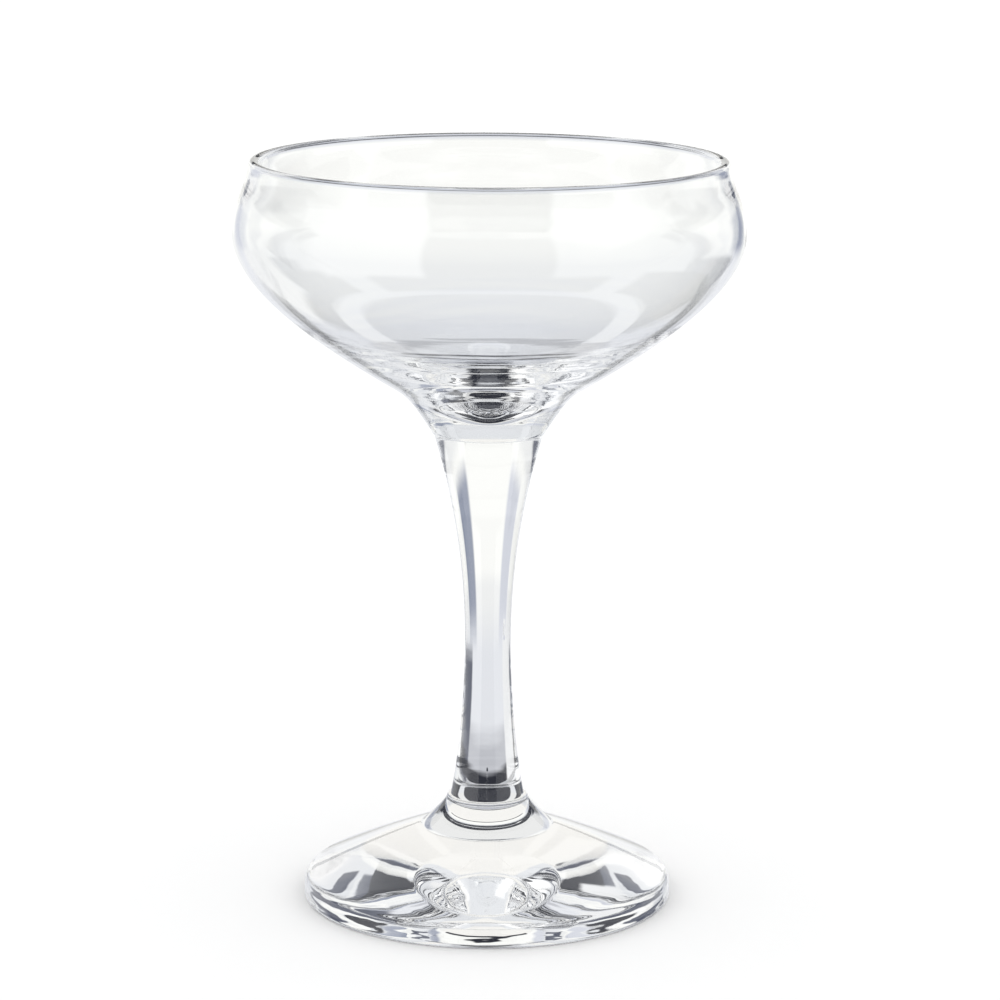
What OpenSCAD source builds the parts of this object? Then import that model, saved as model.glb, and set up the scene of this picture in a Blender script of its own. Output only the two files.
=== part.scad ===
// Coupe glass: a wide shallow bowl on a drawn stem and a low conical foot.
// Three pieces of clear glass are fused to each other, face to face.
// Lengths are in millimetres, the axis is Z and the foot rests on Z = 0.

/* [Bowl] */
// Height of the bowl, from the stem to the top of the rim
bowl_height = 56.6; // [50:0.1:80]
// Outside diameter just under the rounded rim
rim_d = 97.8; // [80:0.1:104]
// Thickness of the fire-polished rim
rim_bead = 2.3; // [1.8:0.1:3.2]
// How far the side under the rim leans outwards, in degrees from upright
rim_lean = 6; // [0:1:15]
// Widest outside diameter
belly_d = 104.6; // [98:0.1:120]
// Depth of the widest line below the top of the rim
belly_drop = 14.8; // [10:0.1:20]
// Wall thickness at the widest line
wall = 1.6; // [1.2:0.1:3]
// Outside diameter where the side turns from bulging to hollow
flank_d = 49.6; // [40:0.5:60]
// Height of that turn above the stem
flank_rise = 13; // [10:0.1:20]
// Lean of the side at that turn, in degrees from upright
flank_lean = 57.5; // [45:0.5:70]
// Glass thickness at that turn, square to the side
flank_wall = 3.2; // [1.6:0.1:5]
// Lean of the inside at that turn, in degrees from upright
inner_lean = 72.5; // [45:0.5:80]
// Lean of the side where it reaches the stem, in degrees from upright
neck_lean = 33; // [20:1:45]
// Width of the rounded shoulder that stands past the stem
neck_ledge = 0.4; // [0.3:0.1:1.2]
// Thickness of the solid glass between the hollow and the stem
base_wall = 5.8; // [4:0.1:14]

/* [Stem] */
// Length of the stem, from the foot to the bowl
stem_length = 76.7; // [50:0.1:110]
// Diameter at the upper end
stem_top_d = 22.5; // [15:0.1:24]
// Lean of the side at the upper end, in degrees from upright
stem_top_lean = 16.5; // [8:0.5:30]
// Diameter at the waist, where the stem is thinnest
waist_d = 9.5; // [8:0.1:13]
// Height of the waist above the foot
waist_rise = 32.3; // [22:0.1:42]
// Diameter at the lower end
stem_end_d = 15.3; // [13:0.1:22]
// Lean of the side at the lower end, in degrees from upright
stem_end_lean = 12; // [10:1:35]

/* [Foot] */
// Diameter of the foot
foot_d = 76.6; // [65:0.1:90]
// Height of the foot up to the stem
foot_height = 21.7; // [18:0.1:28]
// Width of the rounded shoulder that stands past the stem
hub_ledge = 0.9; // [0.5:0.1:1.5]
// Lean of the hub below that shoulder, in degrees from upright
hub_lean = 29; // [10:1:35]
// Diameter where the hub runs out into the cone
cone_top_d = 28; // [24:0.1:34]
// Height of the cone at that diameter
cone_top_height = 15.1; // [13:0.1:17]
// How far the cone bulges: its side is this much steeper below and flatter above, in degrees
cone_bow = 2.1; // [0:0.1:4]
// Height of the cone where it turns over into the edge
brow_height = 6; // [5:0.1:8]
// Distance of that turn from the edge, seen from above
brow_inset = 3.1; // [3:0.1:6]
// Height of the widest line of the edge
edge_height = 2.4; // [1.5:0.1:3]
// How far the rest ring lies inside the edge
edge_tuck = 0.9; // [0.7:0.1:2.5]
// Width of the flat ring that the glass rests on
rest_width = 1; // [0.8:0.1:4]
// Height of the hollow under the foot
dome_height = 2.4; // [1.5:0.1:9]
// How steeply the underside rises from the ring, in degrees from level
dome_rise = 2.4; // [0:0.1:20]

/* [Hidden] */

// Steps in each curve of an outline, and facets round the axis in the preview
curve_steps = 22;
facets = 180;

// Handles of the curves, as shares of the straight distance between their ends
shoulder_share = 0.36;
belly_in_share = 0.46;
belly_out_share = 0.24;
flank_in_share = 0.44;
inner_flank_share = 0.35;
flank_out_share = 0.51;
neck_share = 0.6;
cavity_floor_share = 0.22;
cavity_flank_share = 0.45;
stem_top_share = 0.44;
waist_upper_share = 0.24;
waist_lower_share = 0.35;
stem_end_share = 0.21;
hub_share = 0.11;
cone_share = 0.15;
cone_bow_share = 0.33;
edge_share = 0.5;
dome_rim_share = 0.3;
dome_top_share = 0.39;

// Radii of the driving diameters
rim_r = rim_d / 2;
belly_r = belly_d / 2;
flank_r = flank_d / 2;
stem_top_r = stem_top_d / 2;
waist_r = waist_d / 2;
stem_end_r = stem_end_d / 2;
foot_r = foot_d / 2;
cone_top_r = cone_top_d / 2;

// Heights of the two welds and of the rim
lower_weld_z = foot_height;
upper_weld_z = foot_height + stem_length;
rim_z = upper_weld_z + bowl_height;

// Leans of the two ways that a side can be level or upright
upright = 0;
level = 90;

// Unit step along a side that goes down, leaning outwards by the given angle
function downward(lean) = [sin(lean), -cos(lean)];

// Point on a cubic curve with the ends a and d and the handles b and c
function curve_point(a, b, c, d, t) =
    pow(1 - t, 3) * a + 3 * pow(1 - t, 2) * t * b + 3 * (1 - t) * t * t * c + pow(t, 3) * d;

// Curve from one point down to another, given the lean of the side at each end
// and the handles as shares of the distance. The last point is left to the next curve.
function side_curve(from, from_lean, to, to_lean, from_share, to_share, steps = curve_steps) =
    let(
        reach = norm(to - from),
        b = from + from_share * reach * downward(from_lean),
        c = to - to_share * reach * downward(to_lean)
    )
    [for (i = [0 : steps - 1]) curve_point(from, b, c, to, i / steps)];

// Quarter of an ellipse round a centre, from one angle to another
function round_corner(centre, width, height, from_angle, to_angle, steps = 8) =
    [for (i = [0 : steps]) let(a = from_angle + (to_angle - from_angle) * i / steps)
        centre + [width * cos(a), height * sin(a)]];

// Corners of the bowl's outline, outside and inside
bead_r = rim_bead / 2;
bead_centre = [rim_r - bead_r, rim_z - bead_r];
outer_rim = bead_centre + [bead_r, 0];
inner_rim = bead_centre - [bead_r, 0];
outer_belly = [belly_r, rim_z - belly_drop];
inner_belly = outer_belly - [wall, 0];
outer_flank = [flank_r, upper_weld_z + flank_rise];
inner_flank = outer_flank + flank_wall * [-cos(flank_lean), sin(flank_lean)];
neck_point = [stem_top_r + neck_ledge, upper_weld_z + neck_ledge];
cavity_floor = [0, upper_weld_z + base_wall];

// Clear glass, slightly cool
module glass_colour() {
    color([0.86, 0.9, 0.92, 0.45]) children();
}

// Body of revolution from half an outline
module turned(outline) {
    rotate_extrude($fn = facets) polygon(outline);
}

module bowl() {
    outside = concat(
        side_curve(outer_rim, rim_lean, outer_belly, upright, shoulder_share, belly_in_share),
        side_curve(outer_belly, upright, outer_flank, -flank_lean, belly_out_share, flank_in_share),
        side_curve(outer_flank, -flank_lean, neck_point, -neck_lean, flank_out_share, neck_share),
        round_corner(neck_point - [neck_ledge, 0], neck_ledge, neck_ledge, 0, -90)
    );
    inside = concat(
        side_curve(inner_rim, rim_lean, inner_belly, upright, shoulder_share, belly_in_share),
        side_curve(inner_belly, upright, inner_flank, -inner_lean, belly_out_share, inner_flank_share),
        side_curve(inner_flank, -inner_lean, cavity_floor, -level, cavity_flank_share, cavity_floor_share),
        [cavity_floor]
    );
    bead = round_corner(bead_centre, bead_r, bead_r, 180, 0);
    glass_colour() turned(concat(
        [for (i = [len(inside) - 1 : -1 : 1]) inside[i]],
        [for (i = [0 : len(bead) - 2]) bead[i]],
        outside,
        [[0, upper_weld_z]]
    ));
}

module stem() {
    top = [stem_top_r, upper_weld_z];
    waist = [waist_r, lower_weld_z + waist_rise];
    end = [stem_end_r, lower_weld_z];
    glass_colour() turned(concat(
        [[0, upper_weld_z]],
        side_curve(top, -stem_top_lean, waist, upright, stem_top_share, waist_upper_share),
        side_curve(waist, upright, end, stem_end_lean, waist_lower_share, stem_end_share),
        [end, [0, lower_weld_z]]
    ));
}

module foot() {
    hub_top = [stem_end_r + hub_ledge, lower_weld_z - hub_ledge];
    cone_top = [cone_top_r, cone_top_height];
    brow = [foot_r - brow_inset, brow_height];
    cone_lean = atan2(brow[0] - cone_top[0], cone_top[1] - brow[1]);
    upper_lean = cone_lean + cone_bow;
    lower_lean = cone_lean - cone_bow;
    edge = [foot_r, edge_height];
    rest_outer = [foot_r - edge_tuck, 0];
    rest_inner = rest_outer - [rest_width, 0];
    dome_top = [0, dome_height];
    glass_colour() turned(concat(
        [[0, lower_weld_z]],
        round_corner(hub_top - [hub_ledge, 0], hub_ledge, hub_ledge, 90, 0),
        side_curve(hub_top, hub_lean, cone_top, upper_lean, hub_share, cone_share),
        side_curve(cone_top, upper_lean, brow, lower_lean, cone_bow_share, cone_bow_share),
        side_curve(brow, lower_lean, edge, upright, edge_share, edge_share),
        side_curve(edge, upright, rest_outer, -level, edge_share, edge_share, 10),
        [rest_outer],
        side_curve(rest_inner, -level - dome_rise, dome_top, -level, dome_rim_share, dome_top_share),
        [dome_top]
    ));
}

bowl();
stem();
foot();
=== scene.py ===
import math
import bmesh
import bpy
from mathutils import Matrix, Vector
from mathutils.geometry import interpolate_bezier


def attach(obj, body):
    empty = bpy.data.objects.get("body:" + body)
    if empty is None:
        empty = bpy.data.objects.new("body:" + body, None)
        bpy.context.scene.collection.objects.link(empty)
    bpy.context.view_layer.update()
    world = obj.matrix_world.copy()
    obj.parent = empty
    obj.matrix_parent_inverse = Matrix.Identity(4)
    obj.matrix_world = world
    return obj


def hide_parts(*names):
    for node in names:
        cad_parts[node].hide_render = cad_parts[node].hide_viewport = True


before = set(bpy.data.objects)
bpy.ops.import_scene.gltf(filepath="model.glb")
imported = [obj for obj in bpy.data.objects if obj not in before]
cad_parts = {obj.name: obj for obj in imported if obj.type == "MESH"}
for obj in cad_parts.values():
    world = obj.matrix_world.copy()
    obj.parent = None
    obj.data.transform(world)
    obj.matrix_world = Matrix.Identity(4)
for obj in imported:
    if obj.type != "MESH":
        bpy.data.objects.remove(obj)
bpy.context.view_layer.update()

turning = {
    "steps": 240,          # faces round each piece
    "curveSteps": 40,      # points along each curve of an outline
    "cornerSteps": 10,
    "creaseAngle": 40,     # degrees: a sharper edge keeps its corner
    "samePlace": 0.00001,  # two points of an outline that are closer than this are one
    "mergeDistance": 0.0000005,
    "weldTolerance": 0.00002,
}
print("frame loaded:", sorted(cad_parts))


# An outline is half a section of the glass: x is the radius and z the height, in metres
def point(radius, height):
    return Vector((radius, 0, height))


# Unit step along a side that goes down, leaning outwards by so many degrees
def downward(lean):
    return point(math.sin(math.radians(lean)), -math.cos(math.radians(lean)))


# Points from one end of a curve to just before the other
def sideCurve(start, startLean, end, endLean, startShare, endShare):
    reach = (end - start).length
    startHandle = start + startShare * reach * downward(startLean)
    endHandle = end - endShare * reach * downward(endLean)
    return interpolate_bezier(start, startHandle, endHandle, end, turning["curveSteps"] + 1)[:-1]


def roundCorner(centre, width, height, startAngle, endAngle):
    corner = []
    for step in range(turning["cornerSteps"] + 1):
        angle = math.radians(startAngle + (endAngle - startAngle) * step / turning["cornerSteps"])
        corner.append(centre + point(width * math.cos(angle), height * math.sin(angle)))
    return corner


# Spins an outline about Z and marks the flat discs where the piece is melted to its neighbour
def turnedPiece(name, outline, weldHeights):
    mesh = bmesh.new()
    previous = None
    for place in outline:
        if previous is not None and (place - previous.co).length < turning["samePlace"]:
            continue
        vertex = mesh.verts.new(place)
        if previous is not None:
            mesh.edges.new((previous, vertex))
        previous = vertex
    bmesh.ops.spin(mesh, geom=mesh.verts[:] + mesh.edges[:], axis=(0, 0, 1), cent=(0, 0, 0),
                   steps=turning["steps"], angle=2 * math.pi, use_merge=True)
    bmesh.ops.remove_doubles(mesh, verts=mesh.verts, dist=turning["mergeDistance"])
    bmesh.ops.dissolve_degenerate(mesh, edges=mesh.edges, dist=turning["mergeDistance"] / 5)
    bmesh.ops.recalc_face_normals(mesh, faces=mesh.faces)
    for face in mesh.faces:
        face.smooth = True
        middle = face.calc_center_median()
        for height in weldHeights:
            if abs(middle.z - height) < turning["weldTolerance"] and abs(face.normal.z) > 0.999:
                face.material_index = 1
    for edge in mesh.edges:
        if edge.is_manifold and edge.calc_face_angle() > math.radians(turning["creaseAngle"]):
            edge.smooth = False
    data = bpy.data.meshes.new(name)
    mesh.to_mesh(data)
    mesh.free()
    piece = bpy.data.objects.new(name, data)
    bpy.context.scene.collection.objects.link(piece)
    return piece


# Lengths are in metres, leans in degrees, and each share is a curve handle's part of the curve's reach
footSizes = {
    "radius": 0.0383, "height": 0.0217, "weldRadius": 0.00765,
    "hubLedge": 0.0009, "hubLean": 29, "hubShare": 0.11,
    "coneTopRadius": 0.014, "coneTopHeight": 0.0151, "coneShare": 0.15, "coneBow": 2.1, "coneBowShare": 0.33,
    "browInset": 0.0031, "browHeight": 0.006, "edgeHeight": 0.0024, "edgeShare": 0.5,
    "restTuck": 0.0009, "restWidth": 0.001, "domeHeight": 0.0024, "domeRise": 2.4,
    "domeRimShare": 0.3, "domeTopShare": 0.39,
}
stemSizes = {
    "length": 0.0767, "topLean": 16.5, "topShare": 0.44,
    "waistRadius": 0.00475, "waistRise": 0.0323, "waistUpperShare": 0.24, "waistLowerShare": 0.35,
    "endLean": 12, "endShare": 0.21,
}
bowlSizes = {
    "height": 0.0566, "weldRadius": 0.01125,
    "rimRadius": 0.0489, "rimBead": 0.0023, "rimLean": 6, "shoulderShare": 0.36,
    "bellyRadius": 0.0523, "bellyDrop": 0.0148, "wall": 0.0016, "bellyInShare": 0.46, "bellyOutShare": 0.24,
    "flankRadius": 0.0248, "flankRise": 0.013, "flankLean": 57.5, "flankWall": 0.0032, "innerLean": 72.5,
    "flankInShare": 0.44, "innerFlankShare": 0.35, "flankOutShare": 0.51,
    "neckLean": 33, "neckLedge": 0.0004, "neckShare": 0.6,
    "baseWall": 0.0058, "cavityFlankShare": 0.45, "cavityFloorShare": 0.22,
}
lowerWeld = footSizes["height"]
upperWeld = lowerWeld + stemSizes["length"]


def makeFoot():
    s = footSizes
    hubTop = point(s["weldRadius"] + s["hubLedge"], lowerWeld - s["hubLedge"])
    coneTop = point(s["coneTopRadius"], s["coneTopHeight"])
    brow = point(s["radius"] - s["browInset"], s["browHeight"])
    coneLean = math.degrees(math.atan2(brow.x - coneTop.x, coneTop.z - brow.z))
    upperLean, lowerLean = coneLean + s["coneBow"], coneLean - s["coneBow"]
    edge = point(s["radius"], s["edgeHeight"])
    restOuter = point(s["radius"] - s["restTuck"], 0)
    restInner = restOuter - point(s["restWidth"], 0)
    domeTop = point(0, s["domeHeight"])
    outline = [point(0, lowerWeld)]
    outline += roundCorner(hubTop - point(s["hubLedge"], 0), s["hubLedge"], s["hubLedge"], 90, 0)[:-1]
    outline += sideCurve(hubTop, s["hubLean"], coneTop, upperLean, s["hubShare"], s["coneShare"])
    outline += sideCurve(coneTop, upperLean, brow, lowerLean, s["coneBowShare"], s["coneBowShare"])
    outline += sideCurve(brow, lowerLean, edge, 0, s["edgeShare"], s["edgeShare"])
    outline += sideCurve(edge, 0, restOuter, -90, s["edgeShare"], s["edgeShare"])
    outline += [restOuter]
    outline += sideCurve(restInner, -90 - s["domeRise"], domeTop, -90, s["domeRimShare"], s["domeTopShare"])
    outline += [domeTop]
    return turnedPiece("footOfGlass", outline, [lowerWeld])


def makeStem():
    s = stemSizes
    top = point(bowlSizes["weldRadius"], upperWeld)
    waist = point(s["waistRadius"], lowerWeld + s["waistRise"])
    end = point(footSizes["weldRadius"], lowerWeld)
    outline = [point(0, upperWeld)]
    outline += sideCurve(top, -s["topLean"], waist, 0, s["topShare"], s["waistUpperShare"])
    outline += sideCurve(waist, 0, end, s["endLean"], s["waistLowerShare"], s["endShare"])
    outline += [end, point(0, lowerWeld)]
    return turnedPiece("stemOfGlass", outline, [upperWeld, lowerWeld])


def makeBowl():
    s = bowlSizes
    rimHeight = upperWeld + s["height"]
    beadRadius = s["rimBead"] / 2
    beadCentre = point(s["rimRadius"] - beadRadius, rimHeight - beadRadius)
    outerBelly = point(s["bellyRadius"], rimHeight - s["bellyDrop"])
    innerBelly = outerBelly - point(s["wall"], 0)
    outerFlank = point(s["flankRadius"], upperWeld + s["flankRise"])
    lean = math.radians(s["flankLean"])
    innerFlank = outerFlank + s["flankWall"] * point(-math.cos(lean), math.sin(lean))
    neck = point(s["weldRadius"] + s["neckLedge"], upperWeld + s["neckLedge"])
    cavityFloor = point(0, upperWeld + s["baseWall"])
    innerRim = beadCentre - point(beadRadius, 0)
    outerRim = beadCentre + point(beadRadius, 0)
    inside = sideCurve(innerRim, s["rimLean"], innerBelly, 0, s["shoulderShare"], s["bellyInShare"])
    inside += sideCurve(innerBelly, 0, innerFlank, -s["innerLean"], s["bellyOutShare"], s["innerFlankShare"])
    inside += sideCurve(innerFlank, -s["innerLean"], cavityFloor, -90,
                        s["cavityFlankShare"], s["cavityFloorShare"])
    inside += [cavityFloor]
    outside = sideCurve(outerRim, s["rimLean"], outerBelly, 0, s["shoulderShare"], s["bellyInShare"])
    outside += sideCurve(outerBelly, 0, outerFlank, -s["flankLean"], s["bellyOutShare"], s["flankInShare"])
    outside += sideCurve(outerFlank, -s["flankLean"], neck, -s["neckLean"], s["flankOutShare"], s["neckShare"])
    outside += roundCorner(neck - point(s["neckLedge"], 0), s["neckLedge"], s["neckLedge"], 0, -90)
    outside += [point(0, upperWeld)]
    bead = roundCorner(beadCentre, beadRadius, beadRadius, 180, 0)
    return turnedPiece("bowlOfGlass", inside[::-1] + bead[1:-1] + outside, [upperWeld])


foot = makeFoot()
stem = makeStem()
bowl = makeBowl()
print("three pieces turned:", [len(p.data.polygons) for p in (foot, stem, bowl)])


# Numbers are set on a Math node's inputs and sockets are linked to them
def mathNode(tree, operation, *values):
    node = tree.nodes.new("ShaderNodeMath")
    node.operation = operation
    for socket, value in zip(node.inputs, values):
        if isinstance(value, (int, float)):
            socket.default_value = value
        else:
            tree.links.new(value, socket)
    return node.outputs[0]


def smoothStep(tree, value, start, end):
    node = tree.nodes.new("ShaderNodeMapRange")
    node.interpolation_type = "SMOOTHSTEP"
    for socket, given in (("Value", value), ("From Min", start), ("From Max", end)):
        if isinstance(given, (int, float)):
            node.inputs[socket].default_value = given
        else:
            tree.links.new(given, node.inputs[socket])
    return node.outputs["Result"]


# 1 between low and high, with soft ends outside them
def softBand(tree, value, low, high, fade):
    above = smoothStep(tree, value, mathNode(tree, "SUBTRACT", low, fade), low)
    under = smoothStep(tree, value, high, mathNode(tree, "ADD", high, fade))
    return mathNode(tree, "MULTIPLY", above, mathNode(tree, "SUBTRACT", 1, under))


def newGroup(name, inputs, output):
    group = bpy.data.node_groups.new(name, "ShaderNodeTree")
    group.interface.new_socket("Position", in_out="INPUT", socket_type="NodeSocketVector")
    for label in inputs:
        kind = "NodeSocketVector" if label == "Stretch" else "NodeSocketFloat"
        group.interface.new_socket(label, in_out="INPUT", socket_type=kind)
    group.interface.new_socket(output, in_out="OUTPUT", socket_type="NodeSocketFloat")
    return group, group.nodes.new("NodeGroupInput").outputs, group.nodes.new("NodeGroupOutput").inputs


# Waves left in the skin of the glass: Stretch says how quickly they change along X, Y and Z, per metre
def ripplesGroup():
    group, source, result = newGroup("skinRipples", ("Stretch", "Detail", "Low", "High", "Fade"), "Height")
    stretched = group.nodes.new("ShaderNodeVectorMath")
    stretched.operation = "MULTIPLY"
    group.links.new(source["Position"], stretched.inputs[0])
    group.links.new(source["Stretch"], stretched.inputs[1])
    noise = group.nodes.new("ShaderNodeTexNoise")
    noise.inputs["Scale"].default_value = 1
    noise.inputs["Roughness"].default_value = 0.45
    group.links.new(stretched.outputs["Vector"], noise.inputs["Vector"])
    group.links.new(source["Detail"], noise.inputs["Detail"])
    split = group.nodes.new("ShaderNodeSeparateXYZ")
    group.links.new(source["Position"], split.inputs["Vector"])
    band = softBand(group, split.outputs["Z"], source["Low"], source["High"], source["Fade"])
    centred = mathNode(group, "SUBTRACT", noise.outputs["Fac"], 0.5)
    group.links.new(mathNode(group, "MULTIPLY", centred, band), result["Height"])
    return group


emptyCells = 0.55  # the share of the melt's cells that hold no seed


# Tiny seeds: gas or dust that was caught in the melt, Density of them per metre
def seedsGroup():
    group, source, result = newGroup("glassSeeds", ("Density", "Size"), "Mask")
    cells = group.nodes.new("ShaderNodeTexVoronoi")
    group.links.new(source["Position"], cells.inputs["Vector"])
    group.links.new(source["Density"], cells.inputs["Scale"])
    inner = mathNode(group, "MULTIPLY", source["Size"], 0.5)
    near = mathNode(group, "SUBTRACT", 1, smoothStep(group, cells.outputs["Distance"], inner, source["Size"]))
    pick = group.nodes.new("ShaderNodeSeparateColor")
    group.links.new(cells.outputs["Color"], pick.inputs["Color"])
    chosen = mathNode(group, "GREATER_THAN", pick.outputs["Red"], emptyCells)
    group.links.new(mathNode(group, "MULTIPLY", near, chosen), result["Mask"])
    return group


# Where hands and a cloth have touched the polish: nowhere with a Cover of 0, on about half with 1
def handlingGroup():
    group, source, result = newGroup("handlingMarks", ("Scale", "Cover"), "Mask")
    smear = group.nodes.new("ShaderNodeTexNoise")
    smear.inputs["Detail"].default_value = 3
    smear.inputs["Distortion"].default_value = 0.6
    group.links.new(source["Position"], smear.inputs["Vector"])
    group.links.new(source["Scale"], smear.inputs["Scale"])
    edge = mathNode(group, "SUBTRACT", 0.8, mathNode(group, "MULTIPLY", source["Cover"], 0.4))
    farEdge = mathNode(group, "ADD", edge, 0.1)
    group.links.new(smoothStep(group, smear.outputs["Fac"], edge, farEdge), result["Mask"])
    return group


# A patch of the skin between two heights and near one direction round the axis, in degrees from X towards Y
def sidePatchGroup():
    group, source, result = newGroup("sidePatch", ("Direction", "Half Width", "Low", "High", "Fade"), "Mask")
    turn = group.nodes.new("ShaderNodeVectorRotate")
    turn.rotation_type = "Z_AXIS"
    group.links.new(source["Position"], turn.inputs["Vector"])
    group.links.new(mathNode(group, "MULTIPLY", source["Direction"], -math.radians(1)), turn.inputs["Angle"])
    split = group.nodes.new("ShaderNodeSeparateXYZ")
    group.links.new(turn.outputs["Vector"], split.inputs["Vector"])
    across = mathNode(group, "ABSOLUTE", split.outputs["Y"])
    facing = mathNode(group, "GREATER_THAN", split.outputs["X"], 0)
    inner = mathNode(group, "MULTIPLY", source["Half Width"], 0.4)
    inWidth = mathNode(group, "SUBTRACT", 1, smoothStep(group, across, inner, source["Half Width"]))
    band = softBand(group, split.outputs["Z"], source["Low"], source["High"], source["Fade"])
    onThisSide = mathNode(group, "MULTIPLY", inWidth, facing)
    group.links.new(mathNode(group, "MULTIPLY", onThisSide, band), result["Mask"])
    return group


ripples = ripplesGroup()
seeds = seedsGroup()
handling = handlingGroup()
sidePatch = sidePatchGroup()


def placeGroup(tree, group, position, values):
    node = tree.nodes.new("ShaderNodeGroup")
    node.node_tree = group
    tree.links.new(position, node.inputs["Position"])
    for label, value in values.items():
        node.inputs[label].default_value = value
    return node.outputs[0]


# Clear glass with ripples in its skin, seeds, handling marks and any marks of its own
def clearGlass(name, look):
    material = bpy.data.materials.new(name)
    material.use_nodes = True
    tree = material.node_tree
    shader = tree.nodes["Principled BSDF"]
    shader.inputs["IOR"].default_value = look["ior"]
    shader.inputs["Transmission Weight"].default_value = 1
    position = tree.nodes.new("ShaderNodeTexCoord").outputs["Object"]
    height = 0
    for group, unevenness in ((ripples, look["waves"]), (sidePatch, look["marks"])):
        for part in unevenness:
            layer = placeGroup(tree, group, position, part["field"])
            height = mathNode(tree, "ADD", height, mathNode(tree, "MULTIPLY", layer, part["depth"]))
    bump = tree.nodes.new("ShaderNodeBump")
    bump.inputs["Distance"].default_value = 0.001
    tree.links.new(height, bump.inputs["Height"])
    tree.links.new(bump.outputs["Normal"], shader.inputs["Normal"])
    tint = tree.nodes.new("ShaderNodeMix")
    tint.data_type = "RGBA"
    tint.inputs["A"].default_value = look["tint"]
    tint.inputs["B"].default_value = look["seedTint"]
    tree.links.new(placeGroup(tree, seeds, position, look["seeds"]), tint.inputs["Factor"])
    tree.links.new(tint.outputs["Result"], shader.inputs["Base Color"])
    touched = placeGroup(tree, handling, position, look["handling"])
    tree.links.new(mathNode(tree, "MULTIPLY", touched, look["markRoughness"]), shader.inputs["Roughness"])
    return material


# The faces that are melted together let light straight through
def meltedFace():
    material = bpy.data.materials.new("meltedFace")
    material.use_nodes = True
    tree = material.node_tree
    tree.nodes.remove(tree.nodes["Principled BSDF"])
    through = tree.nodes.new("ShaderNodeBsdfTransparent")
    tree.links.new(through.outputs["BSDF"], tree.nodes["Material Output"].inputs["Surface"])
    return material


glass = {
    "ior": 1.52, "tint": (0.985, 0.99, 0.992, 1),
    "seedTint": (0.3, 0.31, 0.35, 1), "seeds": {"Density": 70, "Size": 0.03},
    "handling": {"Scale": 60, "Cover": 0.3}, "markRoughness": 0.02, "marks": (),
}


# Depths are in millimetres, heights and widths in metres
def wave(stretch, detail, low, high, fade, depth):
    field = {"Stretch": stretch, "Detail": detail, "Low": low, "High": high, "Fade": fade}
    return {"field": field, "depth": depth}


def mark(direction, halfWidth, low, high, fade, depth):
    field = {"Direction": direction, "Half Width": halfWidth, "Low": low, "High": high, "Fade": fade}
    return {"field": field, "depth": depth}


bowlLook = dict(glass, waves=(
    wave((18, 18, 420), 2, 0.099, 0.118, 0.012, 0.10),  # fine rings round the lower flank
    wave((45, 45, 30), 1, 0.09, 0.15, 0.01, 0.05),      # slow unevenness of the blown side
))
stemLook = dict(glass, waves=(
    wave((120, 120, 260), 2, 0.02, 0.045, 0.02, 0.035),  # the lower end, where it met the foot
    wave((160, 160, 12), 1, 0.02, 0.1, 0.01, 0.02),      # drawn out along the stem
), marks=(
    mark(-45, 0.0003, 0.0565, 0.0587, 0.0012, 0.12),     # from the tool that held it
    mark(-90, 0.0002, 0.0225, 0.028, 0.001, 0.05),       # short upright line at the lower end
))
footLook = dict(glass, waves=(
    wave((110, 110, 190), 2, -0.001, 0.005, 0.003, 0.07),  # the pressed edge
    wave((40, 40, 40), 1, -0.001, 0.022, 0.001, 0.10),     # slow unevenness all over
))

melted = meltedFace()
for piece, node, look in ((foot, "foot", footLook), (stem, "stem", stemLook), (bowl, "bowl", bowlLook)):
    piece.data.materials.append(clearGlass(node + "Glass", look))
    piece.data.materials.append(melted)
    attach(piece, "root")
    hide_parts(node)
print("glass finished")


# Azimuths are degrees to the right of the camera's first view, heights are degrees above level
def zone(azimuth, halfWidth, low, high, soft, tone):
    field = {"Azimuth": azimuth, "Half Width": halfWidth, "Low": low, "High": high, "Soft": soft}
    return {"field": field, "tone": tone + (1,)}


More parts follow.
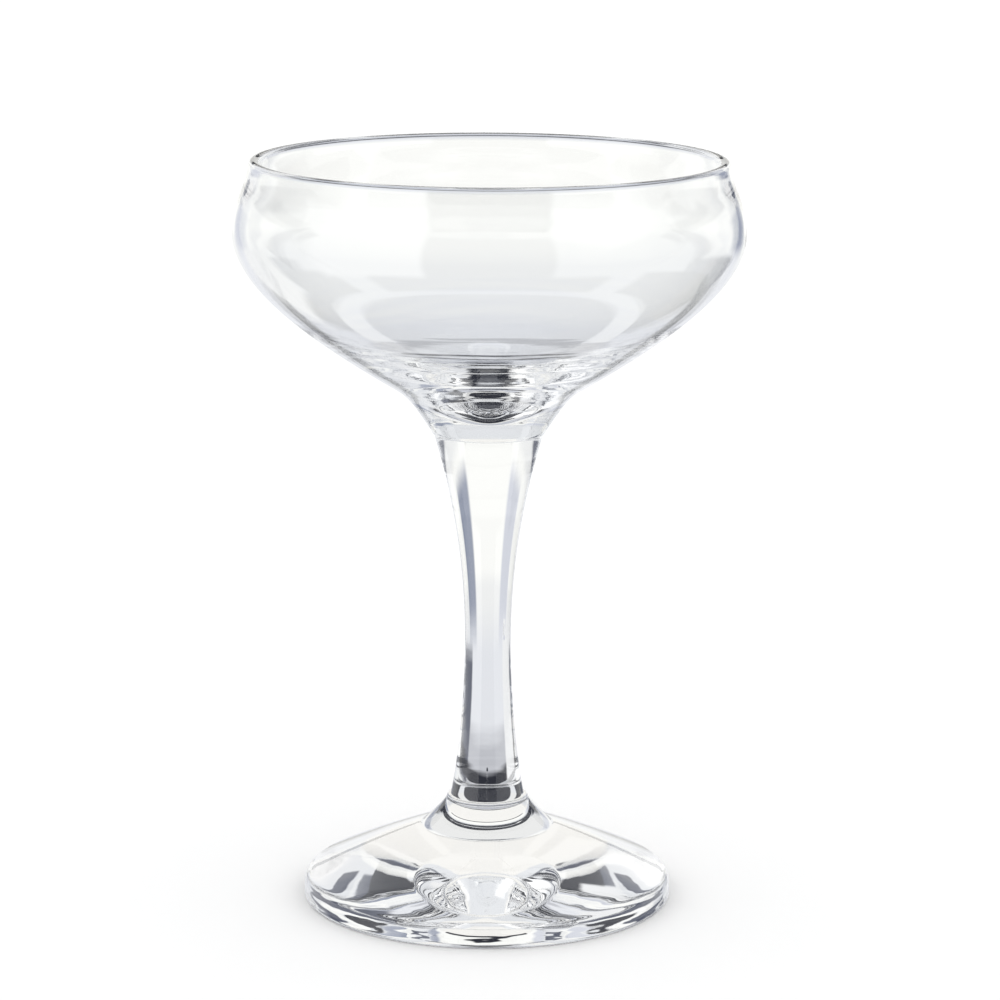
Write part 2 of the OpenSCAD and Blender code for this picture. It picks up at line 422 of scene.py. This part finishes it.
unlit = (0.03, 0.032, 0.042)
cornerShade = (0.12, 0.13, 0.17)
cardShade = (0.1, 0.11, 0.15)
studio = {
    "backdrop": (1, 1, 1, 1),             # what the camera sees past the floor
    "floorLight": (1.07, 1.07, 1.07, 1),  # what the floor is lit by, so that it comes out white
    "base": (0.82, 0.835, 0.86, 1),       # what the glass sees outside the zones
    # A later zone lies over the earlier ones
    "zones": {
        # The pale sweep behind the glass, brighter at the top, with shaded sides and a shaded end
        "sweep": zone(0, 66, -20, 14, 5, (0.95, 0.955, 0.95)),
        "sweepTop": zone(0, 66, -6, 8, 2.5, (1.06, 1.06, 1.03)),
        "sweepLeft": zone(-31, 8, -14, 4, 4, (0.68, 0.7, 0.77)),
        "sweepRight": zone(31, 8, -14, 4, 4, (0.3, 0.33, 0.42)),
        "sweepLow": zone(0, 60, -27, -16, 7, (0.84, 0.855, 0.895)),
        "sweepEnd": zone(0, 30, -27.5, -24, 3, (0.56, 0.57, 0.61)),
        "leftCorner": zone(-72, 9, -27, -17, 4, cornerShade),
        "rightCorner": zone(52, 18, -27, -17, 4, cornerShade),
        # A warm white panel over the sweep, with a black batten across it
        "topPanel": zone(0, 24, 11, 52, 2, (0.98, 0.965, 0.93)),
        "batten": zone(0, 18, 8.8, 10.6, 1, unlit),
        # A black band under the sweep, with a grey and a white card before it, and a pale strip below
        "lowBand": zone(0, 100, -49, -27.5, 1.5, unlit),
        "greyCard": zone(0, 32, -48, -34, 3, (0.6, 0.62, 0.68)),
        "whiteCard": zone(-46, 13, -38, -14, 4, (0.93, 0.935, 0.94)),
        "paleStrip": zone(0, 60, -56, -50, 1.5, (0.85, 0.85, 0.84)),
        # Dark cards high at the sides, and the softboxes that give the bowl its two highlights
        "leftCard": zone(-59, 24, 15, 25, 2, cardShade),
        "rightCard": zone(59, 24, 15, 25, 2, cardShade),
        "leftSoftbox": zone(-131, 33, -28, 46, 9, (1.2, 1.2, 1.2)),
        "rightSoftbox": zone(122, 14, -4, 46, 8, (0.95, 0.95, 0.95)),
        # The dark room round the camera, and straight down
        "cameraSide": zone(180, 28, -42, 32, 4, unlit),
        "cameraLow": zone(180, 60, -50, -32, 3, unlit),
        "below": zone(0, 200, -100, -58, 1.5, unlit),
    },
}


# A part of the surroundings: 1 inside it and 0 outside
def studioPatchGroup():
    group, source, result = newGroup("studioPatch", ("Azimuth", "Half Width", "Low", "High", "Soft"), "Mask")
    turn = group.nodes.new("ShaderNodeVectorRotate")
    turn.rotation_type = "Z_AXIS"
    group.links.new(source["Position"], turn.inputs["Vector"])
    group.links.new(mathNode(group, "MULTIPLY", source["Azimuth"], math.radians(1)), turn.inputs["Angle"])
    split = group.nodes.new("ShaderNodeSeparateXYZ")
    group.links.new(turn.outputs["Vector"], split.inputs["Vector"])
    bearing = mathNode(group, "ARCTAN2", split.outputs["X"], split.outputs["Y"])
    side = mathNode(group, "ABSOLUTE", mathNode(group, "MULTIPLY", bearing, 180 / math.pi))
    rise = mathNode(group, "MULTIPLY", mathNode(group, "ARCSINE", split.outputs["Z"]), 180 / math.pi)
    outer = mathNode(group, "ADD", source["Half Width"], source["Soft"])
    inWidth = mathNode(group, "SUBTRACT", 1, smoothStep(group, side, source["Half Width"], outer))
    band = softBand(group, rise, source["Low"], source["High"], source["Soft"])
    group.links.new(mathNode(group, "MULTIPLY", inWidth, band), result["Mask"])
    return group


def mixColour(tree, factor, first, second):
    mix = tree.nodes.new("ShaderNodeMix")
    mix.data_type = "RGBA"
    tree.links.new(factor, mix.inputs["Factor"])
    for socket, value in (("A", first), ("B", second)):
        if isinstance(value, tuple):
            mix.inputs[socket].default_value = value
        else:
            tree.links.new(value, mix.inputs[socket])
    return mix.outputs["Result"]


# The camera and the floor see plain white. The glass sees the white sweep and the dark and pale
# parts round it, because before plain white on all sides clear glass would show no lines.
def lightStudio():
    world = bpy.data.worlds.new("studio")
    bpy.context.scene.world = world
    world.use_nodes = True
    tree = world.node_tree
    direction = tree.nodes.new("ShaderNodeTexCoord").outputs["Generated"]
    group = studioPatchGroup()
    tone = studio["base"]
    for part in studio["zones"].values():
        tone = mixColour(tree, placeGroup(tree, group, direction, part["field"]), tone, part["tone"])
    path = tree.nodes.new("ShaderNodeLightPath")
    tone = mixColour(tree, path.outputs["Is Diffuse Ray"], tone, studio["floorLight"])
    tone = mixColour(tree, path.outputs["Is Camera Ray"], tone, studio["backdrop"])
    tree.links.new(tone, tree.nodes["Background"].inputs["Color"])
    world.cycles.sampling_method = "NONE"


floorSizes = {"radius": 3, "segments": 96, "drop": 0.00005}  # the drop keeps it clear of the foot


def layFloor():
    s = floorSizes
    mesh = bmesh.new()
    bmesh.ops.create_circle(mesh, cap_ends=True, segments=s["segments"], radius=s["radius"])
    bmesh.ops.translate(mesh, verts=mesh.verts, vec=(0, 0, -s["drop"]))
    data = bpy.data.meshes.new("floor")
    mesh.to_mesh(data)
    mesh.free()
    floor = bpy.data.objects.new("floor", data)
    bpy.context.scene.collection.objects.link(floor)
    material = bpy.data.materials.new("whiteFloor")
    material.use_nodes = True
    shader = material.node_tree.nodes["Principled BSDF"]
    shader.inputs["Base Color"].default_value = (1, 1, 1, 1)
    shader.inputs["Roughness"].default_value = 1
    shader.inputs["Specular IOR Level"].default_value = 0
    floor.data.materials.append(material)
    floor.visible_transmission = False
    floor.visible_glossy = False


lightStudio()
layFloor()
print("studio lit")

# The pitch and the roll are in degrees, the focal length is in pixels of the square picture
lens = {"place": (0.0024, -0.7616, 0.2440), "pitch": 11.842, "roll": 0.25, "focalPixels": 3770, "frame": 1000}
bounces = 64  # light crosses many faces inside thick glass


def placeCamera():
    data = bpy.data.cameras.new("camera")
    data.lens = data.sensor_width * lens["focalPixels"] / lens["frame"]
    camera = bpy.data.objects.new("camera", data)
    bpy.context.scene.collection.objects.link(camera)
    camera.matrix_world = (Matrix.Translation(lens["place"])
                           @ Matrix.Rotation(math.radians(90 - lens["pitch"]), 4, "X")
                           @ Matrix.Rotation(math.radians(lens["roll"]), 4, "Z"))
    bpy.context.scene.camera = camera


placeCamera()
scene = bpy.context.scene
scene.view_settings.view_transform = "Standard"
scene.cycles.use_denoising = True
for limit in ("max_bounces", "transmission_bounces", "glossy_bounces", "transparent_max_bounces"):
    setattr(scene.cycles, limit, bounces)
print("camera placed")
